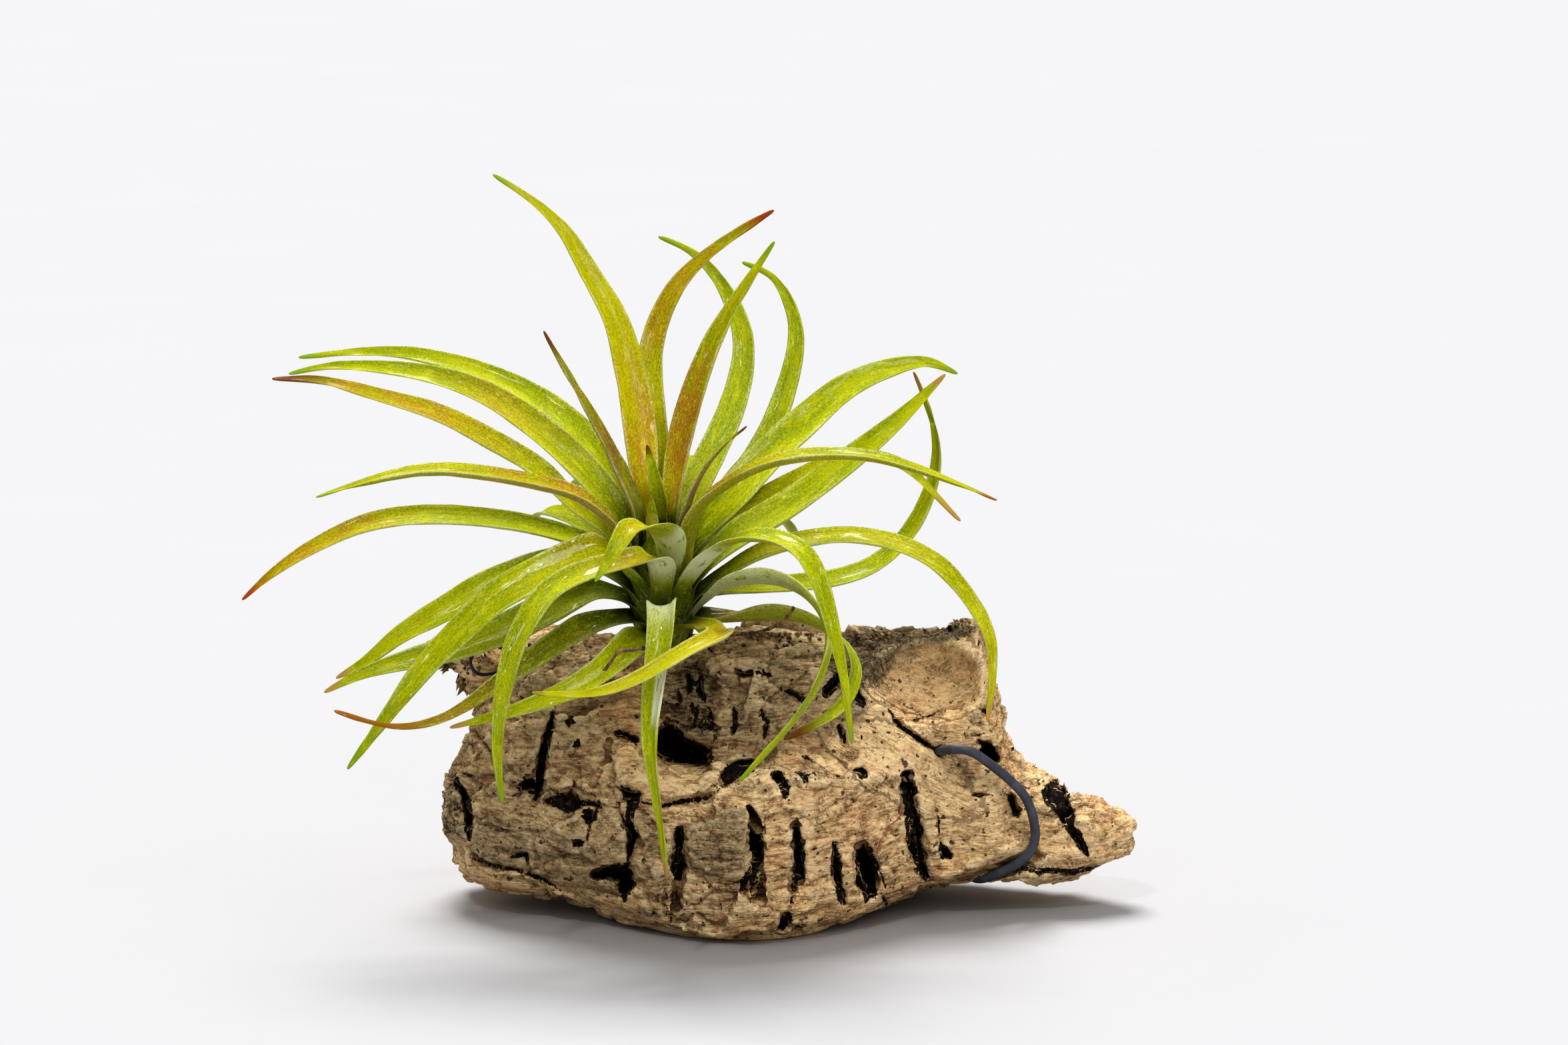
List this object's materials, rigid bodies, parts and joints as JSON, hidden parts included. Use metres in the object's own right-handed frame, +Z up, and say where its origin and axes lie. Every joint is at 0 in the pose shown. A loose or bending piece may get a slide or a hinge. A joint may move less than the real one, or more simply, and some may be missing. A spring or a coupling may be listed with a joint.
{
  "type": "air plant on cork bark",
  "caption": "Rosette of curved, channelled green leaves with orange and brown tips, growing on a short piece of cork bark with a tie wire and a small hanging loop.",
  "frame": {"origin": "centre of the flat spot under the cork, where the piece rests", "axes": "+X to the right of the front view, +Y away from the viewer, +Z up"},
  "size_m": [0.1666, 0.1034, 0.137],
  "materials": {
    "cork": "rough, dry, cracked cork bark",
    "stem": "matt, fibrous",
    "leaf_green": "fleshy green leaf with a fine silvery down",
    "leaf_yellow": "fleshy yellow green leaf with a fine silvery down",
    "leaf_orange": "fleshy green leaf, orange towards its edge or tip",
    "leaf_silver": "leaf grey with silvery down over green",
    "leaf_brown": "green leaf with a brown or purple edge or tip",
    "coated_wire": "smooth, slightly worn coating",
    "black_wire": "satin black"
  },
  "bodies": {
    "root": {"cork_bark": "cork", "stem": "stem", "leaf_01": "leaf_green", "leaf_02": "leaf_silver", "leaf_03": "leaf_green", "leaf_04": "leaf_green", "leaf_05": "leaf_brown", "leaf_06": "leaf_silver", "leaf_07": "leaf_green", "leaf_08": "leaf_orange", "leaf_09": "leaf_green", "leaf_10": "leaf_silver", "leaf_11": "leaf_green", "leaf_12": "leaf_yellow", "leaf_13": "leaf_green", "leaf_14": "leaf_green", "leaf_15": "leaf_green", "leaf_16": "leaf_silver", "leaf_17": "leaf_green", "leaf_18": "leaf_silver", "leaf_19": "leaf_orange", "leaf_20": "leaf_green", "leaf_21": "leaf_orange", "leaf_22": "leaf_green", "leaf_23": "leaf_green", "leaf_24": "leaf_orange", "leaf_25": "leaf_silver", "leaf_26": "leaf_green", "leaf_27": "leaf_green", "leaf_28": "leaf_green", "leaf_29": "leaf_silver", "leaf_30": "leaf_yellow", "leaf_31": "leaf_orange", "leaf_32": "leaf_orange", "leaf_33": "leaf_brown", "leaf_34": "leaf_orange", "leaf_35": "leaf_brown", "leaf_36": "leaf_green", "leaf_37": "leaf_green", "tie_wire": "coated_wire", "hanging_loop": "black_wire"}
  },
  "joints": []
}
